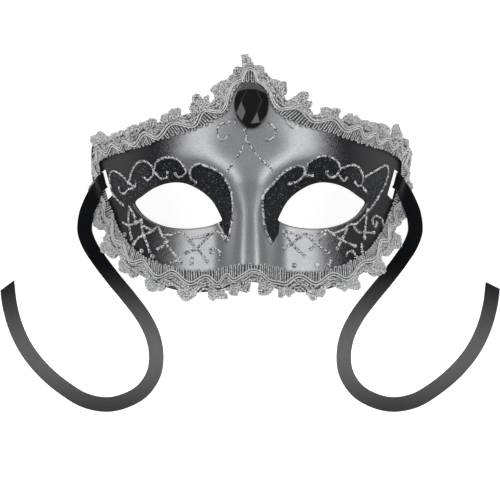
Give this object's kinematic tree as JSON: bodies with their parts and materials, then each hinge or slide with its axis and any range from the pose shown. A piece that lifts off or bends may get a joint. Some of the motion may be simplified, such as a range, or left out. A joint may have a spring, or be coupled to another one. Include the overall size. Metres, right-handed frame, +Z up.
{
  "type": "venetian half mask",
  "caption": "Moulded carnival eye mask with braided edge, forehead stone and ribbon ties, lying face up.",
  "frame": {"origin": "middle of the floor under the mask without its ribbons, on the surface it lies on", "axes": "+X to the right-hand side seen from the front, +Y from the chin edge to the crown, +Z up out of the painted front"},
  "size_m": [0.268, 0.1886, 0.0752],
  "materials": {
    "painted_shell": "moulded plastic sprayed silver in the middle and charcoal at the sides, with black and silver glitter",
    "silver_braid": "woven lace braid of silver metallised thread",
    "black_stone": "polished faceted acrylic",
    "black_ribbon": "woven polyester satin"
  },
  "bodies": {
    "root": {"mask_shell": "painted_shell", "rim_braid": "silver_braid", "gem": "black_stone", "ribbon_right": "black_ribbon", "ribbon_left": "black_ribbon"}
  },
  "joints": []
}
